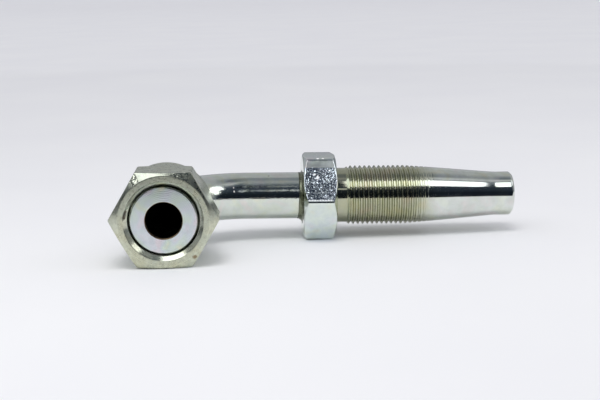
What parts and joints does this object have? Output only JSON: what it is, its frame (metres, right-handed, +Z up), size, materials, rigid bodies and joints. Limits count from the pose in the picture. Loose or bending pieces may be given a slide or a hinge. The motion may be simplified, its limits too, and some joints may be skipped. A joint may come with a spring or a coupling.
{
  "type": "hydraulic elbow hose fitting",
  "caption": "Right-angle bent-tube hose fitting with a loose hex swivel nut around a flat sealing face, and a hose nipple with wrench flats, a thread and a tapered nose.",
  "frame": {"origin": "centre of the flat sealing face inside the nut", "axes": "-Y out of the nut towards the port it screws on to; +X along the nipple towards the hose, parallel to the nipple's axis, which lies 42 mm behind the sealing face; +Z up, square to the plane of the two axes and through the upper flats of both hexagons"},
  "size_m": [0.1358, 0.0593, 0.03],
  "materials": {
    "nut_zinc": "zinc plated, turned and milled, dull",
    "spring_wire": "drawn spring wire, oiled",
    "seat_zinc": "zinc plated, finely turned",
    "tube_zinc": "bright zinc plated drawn tube",
    "plated_braze": "brazing metal, zinc plated over",
    "nipple_zinc": "bright zinc plated, turned"
  },
  "bodies": {
    "fitting": {"seat_sleeve": "seat_zinc", "elbow_tube": "tube_zinc", "seat_braze": "plated_braze", "nipple_braze": "plated_braze", "hose_nipple": "nipple_zinc"},
    "wire": {"retaining_wire": "spring_wire"},
    "nut": {"swivel_nut": "nut_zinc"}
  },
  "joints": [
    {"name": "nut_slide", "type": "slide", "parent": "fitting", "child": "wire", "axis": [0, -1, 0], "range_m": [-0.002, 0.008]},
    {"name": "nut_spin", "type": "hinge", "parent": "wire", "child": "nut", "pos_m": [0, 0.0173, 0], "axis": [0, -1, 0], "continuous": true}
  ]
}
